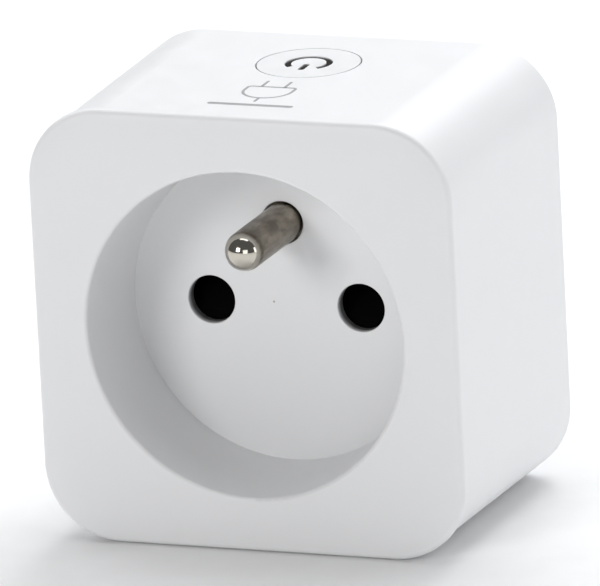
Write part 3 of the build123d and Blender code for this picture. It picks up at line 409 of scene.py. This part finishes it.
def nickel(name, stained, clean, tip=None):
    """Nickel-plated brass: drawn along Y, stained here and there by use, and polished in front of tip."""
    made = Shader(name)
    drawn = made.noise(1.0, detail=4.0, place=made.stretched(DRAWN_GRAIN))
    stain = made.noise(STAIN_SIZE, detail=5.0, place=made.stretched(STAIN_STRETCH))
    bare = made.ranged(stain, 0.0, 1.0, *STAIN_EDGES)
    color = made.blend(bare, stained, clean)
    smoother = made.math("MULTIPLY", bare, STAIN_ROUGHNESS)
    gloss = made.math("SUBTRACT", made.ranged(drawn, *DRAWN_ROUGHNESS), smoother)
    if tip is not None:
        polished = made.ranged(made.along(1), 1.0, 0.0, tip - POLISHED_EDGE, tip + POLISHED_EDGE)
        color = made.blend(polished, color, POLISHED)
        gloss = made.blend_value(polished, gloss, POLISHED_ROUGHNESS)
    made.set(Base_Color=color, Roughness=gloss, Metallic=1.0)
    rings = made.node(
        "ShaderNodeTexWave",
        {"Vector": made.coordinates, "Scale": 1 / TURNING_PITCH, "Distortion": 0.6, "Detail": 1.0},
        bands_direction="Y",
    )
    made.bump(rings.outputs["Fac"], TURNING_RELIEF, strength=0.5)
    made.bump(drawn, DRAWN_RELIEF, strength=0.6)
    return made.material


TARNISH_SIZE = 2.5 * MM
TARNISH_SHADES = (0.82, 1.1)
GRAIN_ROUGHNESS = (-0.07, 0.09)


def drawn_metal(name, color, roughness, scale):
    """Rolled strip, wire or turned iron, its grain stretched by scale."""
    made = Shader(name)
    grain = made.noise(1.0, detail=3.0, place=made.stretched(scale))
    tarnish = made.noise(TARNISH_SIZE, detail=4.0)
    made.set(
        Base_Color=made.blend(tarnish, *(shade(color, factor) for factor in TARNISH_SHADES)),
        Roughness=made.ranged(grain, *(roughness + change for change in GRAIN_ROUGHNESS)),
        Metallic=1.0,
    )
    made.bump(grain, DRAWN_RELIEF, strength=0.6)
    return made.material


TRACK_BLOCK = 4.8 * MM
TRACK_PITCH = 0.8 * MM
TRACK_SHARE = 0.45  # of the pitch
TRACKED_SHARE = 0.76  # of the blocks, and the rest are bare
VIA_SPACING = 2.4 * MM
VIA_REACH = 0.14  # of the spacing
TRACK_SHADE = 1.6
TRACK_RELIEF = 0.02 * MM
MASK_ROUGHNESS = 0.35


def solder_mask(name, color):
    """Circuit board: runs of parallel tracks as paler lines under the mask, and vias as small tinned dots."""
    made = Shader(name)
    steps = (TRACK_BLOCK, TRACK_BLOCK, TRACK_BLOCK)
    block = made.node("ShaderNodeVectorMath", {0: made.coordinates, 1: steps}, operation="SNAP").outputs[0]
    pick = made.node("ShaderNodeTexWhiteNoise", {"Vector": block}).outputs["Value"]
    # A board lies across Y or across Z, so Y plus Z is its other direction beside X.
    other = made.math("ADD", made.along(1), made.along(2))
    tracks = (
        made.math("LESS_THAN", made.math("FRACT", made.math("DIVIDE", place, TRACK_PITCH)), TRACK_SHARE)
        for place in (made.along(0), other)
    )
    track = made.blend_value(made.math("GREATER_THAN", pick, 0.5), *tracks)
    away = made.math("ABSOLUTE", made.math("SUBTRACT", pick, 0.5))
    track = made.math("MULTIPLY", track, made.math("LESS_THAN", away, TRACKED_SHARE / 2))
    dots = made.node("ShaderNodeTexVoronoi", {"Vector": made.coordinates, "Scale": 1 / VIA_SPACING})
    via = made.math("LESS_THAN", dots.outputs["Distance"], VIA_REACH)
    mask = made.blend(track, color, shade(color, TRACK_SHADE))
    made.set(
        Base_Color=made.blend(via, mask, TIN[0]),
        Roughness=made.blend_value(via, MASK_ROUGHNESS, TIN[1]),
        Metallic=via,
    )
    made.bump(made.math("ADD", track, via), TRACK_RELIEF, strength=0.4)
    return made.material


WIRE_PITCH = 1.3 * MM
WIRE_RELIEF = 0.05 * MM
# Painted shade: how dark the copper is painted in the grooves between turns.
WIRE_GAP_PAINTED_SHADE = 0.45
ENAMEL = (COPPER, 0.28, 0.9)
BOBBIN_FLANGE = 0.6 * MM
BOBBIN = ((0.75, 0.72, 0.62), 0.5, 0.0)


def winding(name, box):
    """Enamelled copper wire wound side by side between two moulded flanges, with painted shade darkening the
    wire in the grooves between turns.
    """
    low, high = box
    made = Shader(name)
    flange = away_from(1, (low.y + high.y) / 2, (high.y - low.y) / 2 - BOBBIN_FLANGE)(made)
    waves = {"Vector": made.coordinates, "Scale": 1 / WIRE_PITCH}
    turns = made.node("ShaderNodeTexWave", waves, bands_direction="Y").outputs["Fac"]
    # Painted shade: the copper darkens towards the grooves between turns.
    wire = made.blend(turns, shade(ENAMEL[0], WIRE_GAP_PAINTED_SHADE), ENAMEL[0])
    made.set(
        Base_Color=made.blend(flange, wire, BOBBIN[0]),
        Roughness=made.blend_value(flange, ENAMEL[1], BOBBIN[1]),
        Metallic=made.blend_value(flange, ENAMEL[2], BOBBIN[2]),
    )
    made.bump(turns, WIRE_RELIEF, strength=0.8)
    return made.material


CAN_TOP = 0.35 * MM
CAN_STRIPE = 0.9 * MM
SLEEVE_BLUE = (0.02, 0.03, 0.05)
STRIPE_GREY = (0.55, 0.57, 0.60)
SLEEVE_ROUGHNESS = 0.28
ALUMINIUM = ((0.80, 0.80, 0.80), 0.35)


def can_sleeve(name, can):
    """Dark shrink sleeve with a pale polarity stripe and a bare aluminium top."""
    low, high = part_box(can)
    made = Shader(name)
    top = made.math("LESS_THAN", made.along(1), low.y + CAN_TOP)
    stripe = made.math("GREATER_THAN", made.along(2), high.z - CAN_STRIPE)
    sleeve = made.blend(stripe, SLEEVE_BLUE, STRIPE_GREY)
    made.set(
        Base_Color=made.blend(top, sleeve, ALUMINIUM[0]),
        Roughness=made.blend_value(top, SLEEVE_ROUGHNESS, ALUMINIUM[1]),
        Metallic=top,
    )
    made.bump(made.noise(0.8 * MM), 0.01 * MM, strength=0.5)
    return made.material


COAT_SHADES = ((0.30, 0.42, 0.35), (0.38, 0.50, 0.42))
BAND_HALF = 0.35 * MM
# Each band: its place as a share of the resistor's length, and its colour.
BANDS = ((0.25, (0.45, 0.08, 0.05)), (0.42, (0.02, 0.02, 0.02)), (0.59, (0.6, 0.42, 0.1)))


def banded_resistor(name):
    """Flameproof coat with plain colour bands round it."""
    low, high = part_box("fuse_resistor")
    made = Shader(name)
    color = made.blend(made.noise(0.6 * MM), *COAT_SHADES)
    for share, band in BANDS:
        middle = low.y + share * (high.y - low.y)
        color = made.blend(between(1, middle - BAND_HALF, middle + BAND_HALF)(made), color, band)
    made.set(Base_Color=color, Roughness=0.45)
    made.bump(made.noise(0.3 * MM), 0.02 * MM, strength=0.6)
    return made.material


LEG_LENGTH = 1.0 * MM


def chip_package(name):
    """Black epoxy between two rows of tinned legs, for every chip on the board."""
    rows = []
    for chip in ("supply_chip", "metering_chip"):
        low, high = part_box(chip)
        rows.append(((low.z + high.z) / 2, (high.z - low.z) / 2 - LEG_LENGTH))

    def legs(made):
        return made.math("MULTIPLY", *(away_from(2, *row)(made) for row in rows))

    return layered(name, legs, BLACK, TIN)


CHOKE_CHEEK = 1.2 * MM
LED_BODY = 0.4 * MM


def slot_finishes():
    """One material for each of the record's slots."""
    low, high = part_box("filter_choke")
    choke_cheeks = away_from(1, (low.y + high.y) / 2, (high.y - low.y) / 2 - CHOKE_CHEEK)
    led_lens = beyond(2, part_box("status_led")[0].z + LED_BODY)
    return {
        "housing": moulded_white("housing_white"),
        "button": moulded_white("button_white", shade(WHITE, 1.02), 0.36),
        "smoked_guide": surface("smoked_guide", (0.020, 0.017, 0.015), 0.16, grain=0.4 * MM, bump=0.001 * MM),
        "carrier_plastic": surface("carrier_plastic", (0.74, 0.74, 0.71), 0.5),
        "black_plastic": surface("black_plastic", (0.018, 0.018, 0.019), 0.5),
        "pin_metal": nickel("pin_nickel", (0.47, 0.445, 0.405), (0.64, 0.615, 0.57)),
        "brass": drawn_metal("stamped_brass", (0.80, 0.60, 0.28), 0.32, (700, 4000, 4000)),
        "spring_steel": drawn_metal("spring_steel", (0.60, 0.60, 0.61), 0.30, (4000, 4000, 600)),
        "screw_steel": drawn_metal("zinc_plated_screw", (0.62, 0.61, 0.60), 0.34, (2500, 900, 2500)),
        "circuit_board": solder_mask("circuit_board", (0.02, 0.13, 0.05)),
        "wifi_circuit_board": solder_mask("radio_circuit_board", (0.015, 0.03, 0.12)),
        "shield_metal": drawn_metal("tinned_shield", (0.74, 0.74, 0.72), 0.30, (900, 5000, 5000)),
        "led_lens": layered("led", led_lens, ((0.80, 0.80, 0.78), 0.5, 0.0), ((0.9, 0.85, 0.55), 0.15, 0.0)),
        "relay_plastic": surface("relay_blue", (0.02, 0.09, 0.30), 0.32),
        "coil_copper": winding("coil_winding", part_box("relay_coil")),
        "iron": drawn_metal("plated_iron", (0.46, 0.46, 0.47), 0.42, (1500, 4000, 4000)),
        "can_sleeve": can_sleeve("supply_can_sleeve", "supply_capacitor"),
        "film_box": surface("film_capacitor_yellow", (0.72, 0.50, 0.05), 0.33, grain=0.3 * MM),
        "ferrite": layered("choke", choke_cheeks, (COPPER, 0.35, 0.9), ((0.05, 0.05, 0.055), 0.6, 0.0)),
        "varistor_coat": surface("varistor_blue", (0.03, 0.14, 0.42), 0.25, grain=0.7 * MM, bump=0.03 * MM),
        "resistor_coat": banded_resistor("flameproof_resistor"),
        "chip_plastic": chip_package("chip_package"),
        "shunt_metal": drawn_metal("shunt_alloy", (0.50, 0.46, 0.42), 0.36, (800, 4000, 4000)),
    }


def dress_single_pieces():
    """Pieces unlike the rest of their slot: shutter, the recess's floor and earth pin, one capacitor. The
    shutter's near-black finish and the dark grey on the floor's hole walls are painted shade.
    """
    # Painted shade: the shutter is a real part, but this near-black, almost unreflective finish stands in for
    # the shade deep in the holes.
    shutter_painted_shade = surface("shutter_painted_shade", (0.0012, 0.0012, 0.0013), 0.7, Specular_IOR_Level=0.03)
    nodes["safety_shutter"].data.materials[0] = shutter_painted_shade
    # The floor's live holes get dark grey painted shade on their walls.
    nodes["socket_floor"].data.materials[0] = moulded_white("socket_floor_white", painted_shade=painted_hole_shade)
    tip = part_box("socket_earth_pin")[0].y + POLISHED_LENGTH
    worn = nickel("worn_nickel", (0.155, 0.130, 0.099), (0.290, 0.254, 0.202), tip)
    nodes["socket_earth_pin"].data.materials[0] = worn
    nodes["output_capacitor"].data.materials[0] = can_sleeve("output_can_sleeve", "output_capacitor")


# ---- print and marks on the housing ----
HOUSING = "housing"
PRINT_STROKE = 0.36 * MM
PRINT_THICKNESS = 0.012 * MM
PRINT_MIDDLE_X = -0.5 * MM
PICTOGRAM_DEPTH = 13.6 * MM  # its middle, behind the bezel's front
PLUG_HALF = 3.0 * MM
PLUG_SIDE = 1.6 * MM
PLUG_CORNER = 0.5 * MM
PRONG_X = 1.45 * MM
PRONG_LENGTH = 2.3 * MM
CORD_LENGTH = 1.5 * MM
BAR_DEPTH = 7.6 * MM
BAR_HALF = 5.0 * MM
BAR_STROKE = 0.8 * MM
GATE_MARK_PLACE = (-1.54 * MM, 0.17 * MM)
GATE_MARK_RADIUS = 0.13 * MM
GATE_MARK_RINGS = (1.0, 0.8, 0.45)  # of its radius
GATE_MARK_DOME = 0.3  # its height, as a share of its radius
GATE_MARK_SINK = 0.002 * MM
CAP_STEPS = 6
ARC_STEPS = 24


def top_surface():
    """The drafted top wall: its height at its front edge, and its rise per metre of depth."""
    low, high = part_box("body_shell")
    rim = [vertex.co.z for vertex in nodes["body_shell"].data.vertices if vertex.co.y < low.y + 0.01 * MM]
    return low.y, max(rim), (high.z - max(rim)) / (high.y - low.y)


def arc(middle, radius, start, stop, steps=ARC_STEPS):
    angles = [math.radians(start + (stop - start) * step / steps) for step in range(steps + 1)]
    return [(middle[0] + radius * math.cos(angle), middle[1] + radius * math.sin(angle)) for angle in angles]


def stroke_sections(path, width):
    """(point, half width, direction) along an open path, with round ends."""
    points = [Vector(point) for point in path]
    half = width / 2
    sections = []
    for index, point in enumerate(points):
        before, after = points[max(index - 1, 0)], points[min(index + 1, len(points) - 1)]
        sections.append((point, half, (after - before).normalized()))
    caps = []
    for (point, _, direction), sign in ((sections[0], -1), (sections[-1], 1)):
        cap = []
        for step in range(CAP_STEPS):
            turn = math.pi / 2 * (step + 0.5) / CAP_STEPS
            cap.append((point + direction * sign * half * math.cos(turn), half * math.sin(turn), direction))
        caps.append(cap)
    return caps[0] + sections + caps[1][::-1]


def print_strokes(name, strokes, material):
    """Pad-printed strokes, each a path and a width seen from above, laid on the drafted top as one piece."""
    front, height, rise = top_surface()
    made = bmesh.new()
    for path, width in strokes:
        rings = []
        for point, half, direction in stroke_sections(path, width):
            side = Vector((-direction.y, direction.x)) * half
            ring = []
            for place, lift in ((point + side, -1), (point - side, -1), (point - side, 1), (point + side, 1)):
                z = height + rise * (place.y - front) + lift * PRINT_THICKNESS
                ring.append(made.verts.new((place.x, place.y, z)))
            rings.append(ring)
        bridge(made, rings)
    return add_piece(name, made, material)


def bridge(made, rings):
    """Walls between each ring of vertices and the next, and a face over each end."""
    for ring, following in zip(rings, rings[1:]):
        for index in range(len(ring)):
            other = (index + 1) % len(ring)
            made.faces.new((ring[index], ring[other], following[other], following[index]))
    made.faces.new(rings[0][::-1])
    made.faces.new(rings[-1])


def add_piece(name, made, material):
    """A visible piece of the housing, from a bmesh."""
    bmesh.ops.recalc_face_normals(made, faces=made.faces)
    mesh = bpy.data.meshes.new(name)
    made.to_mesh(mesh)
    made.free()
    mesh.materials.append(material)
    piece = bpy.data.objects.new(name, mesh)
    scene.collection.objects.link(piece)
    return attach(piece, HOUSING)


def add_top_print():
    """A plain plug pictogram with a rounded bar in front of it, in grey ink."""
    ink = surface("grey_ink", (0.34, 0.34, 0.345), 0.5, grain=0.08 * MM, bump=0.001 * MM, variation=0.06)
    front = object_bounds()[0].y
    middle = (PRINT_MIDDLE_X, front + PICTOGRAM_DEPTH)
    shoulder = middle[1] + PLUG_SIDE
    inner_x, inner_y = PLUG_HALF - PLUG_CORNER, shoulder - PLUG_CORNER
    outline = [
        (middle[0], shoulder),
        *arc((middle[0] - inner_x, inner_y), PLUG_CORNER, 90, 180, CAP_STEPS),
        *arc(middle, PLUG_HALF, 180, 360),
        *arc((middle[0] + inner_x, inner_y), PLUG_CORNER, 0, 90, CAP_STEPS),
        (middle[0], shoulder),
    ]
    cord_top = middle[1] - PLUG_HALF
    cord = [(middle[0], cord_top), (middle[0], cord_top - CORD_LENGTH)]
    strokes = [(outline, PRINT_STROKE), (cord, PRINT_STROKE)]
    for x in (middle[0] - PRONG_X, middle[0] + PRONG_X):
        strokes.append(([(x, shoulder), (x, shoulder + PRONG_LENGTH)], PRINT_STROKE))
    print_strokes("top_pictogram", strokes, ink)
    bar = [(middle[0] - BAR_HALF, front + BAR_DEPTH), (middle[0] + BAR_HALF, front + BAR_DEPTH)]
    print_strokes("top_bar", [(bar, BAR_STROKE)], ink)


def add_gate_mark():
    """The small moulding mark near the middle of the socket's floor, a shallow pip."""
    floor_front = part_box("socket_floor")[0].y
    made = bmesh.new()
    rings = []
    for share in GATE_MARK_RINGS:
        height = GATE_MARK_RADIUS * GATE_MARK_DOME * (1 - share**2)
        ring = []
        for x, z in arc(GATE_MARK_PLACE, GATE_MARK_RADIUS * share, 0, 360)[:-1]:
            ring.append(made.verts.new((x, floor_front - height + GATE_MARK_SINK, z)))
        rings.append(ring)
    bridge(made, rings)
    add_piece("floor_gate_mark", made, surface("gate_mark_grey", (0.38, 0.36, 0.35), 0.5, grain=0.1 * MM))


# ---- shutter spring ----
SPRING_WIRE_RADIUS = 0.2 * MM
SPRING_TURNS = 7
CLOSED_PITCH = 0.42 * MM
STEPS_A_TURN = 24
WIRE_SIDES = 10


def add_spring(material):
    """The shutter's spring, with a closed turn at each end. It is built at one length and rides the housing.
    """
    low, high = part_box("shutter_spring")
    foot = Vector(((low.x + high.x) / 2, (low.y + high.y) / 2, low.z + SPRING_WIRE_RADIUS))
    coil_radius = (high.x - low.x) / 2 - SPRING_WIRE_RADIUS
    height = high.z - low.z - 2 * SPRING_WIRE_RADIUS
    open_pitch = (height - 2 * CLOSED_PITCH) / (SPRING_TURNS - 2)
    made = bmesh.new()
    rings = []
    for step in range(SPRING_TURNS * STEPS_A_TURN + 1):
        turns = step / STEPS_A_TURN
        closed = min(turns, 1.0) + max(turns - (SPRING_TURNS - 1), 0.0)
        rise = closed * CLOSED_PITCH + (turns - closed) * open_pitch
        outward = Vector((math.cos(2 * math.pi * turns), math.sin(2 * math.pi * turns), 0))
        middle = foot + outward * coil_radius + Vector((0, 0, rise))
        ring = []
        for side in range(WIRE_SIDES):
            around = 2 * math.pi * side / WIRE_SIDES
            place = outward * math.cos(around) + Vector((0, 0, math.sin(around)))
            ring.append(made.verts.new(middle + place * SPRING_WIRE_RADIUS))
        rings.append(ring)
    bridge(made, rings)
    spring = add_piece("shutter_spring_coil", made, material)
    spring.data.shade_smooth()
    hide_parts("shutter_spring")
    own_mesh(spring)


# ---- edges ----
# How far each outside piece's edges are rounded.
EDGE_ROUNDING = {
    "socket_floor": 0.15 * MM,
    "rear_cover": 0.12 * MM,
    "plug_boss": 0.15 * MM,
    "pin_plate": 0.12 * MM,
    "earth_band": 0.12 * MM,
}
WELD_GAP = 0.0005 * MM
ROUNDING_STEPS = 3
SHARP_ANGLE = math.radians(40)


def round_edges(name, width):
    """Rounds a CAD piece's sharp edges with modifiers; its own mesh stays as it is."""
    node = nodes[name]
    weld = node.modifiers.new("join", "WELD")
    weld.merge_threshold = WELD_GAP
    bevel = node.modifiers.new("round", "BEVEL")
    bevel.width = width
    bevel.segments = ROUNDING_STEPS
    bevel.limit_method = "ANGLE"
    bevel.angle_limit = SHARP_ANGLE
    bevel.use_clamp_overlap = True
    bevel.harden_normals = False
    node.modifiers.new("shade", "WEIGHTED_NORMAL").keep_sharp = True


add_camera()
add_studio()
dress(slot_finishes())
dress_single_pieces()
add_top_print()
add_gate_mark()
add_spring(nodes["shutter_spring"].data.materials[0])
for piece_name, rounding in EDGE_ROUNDING.items():
    round_edges(piece_name, rounding)
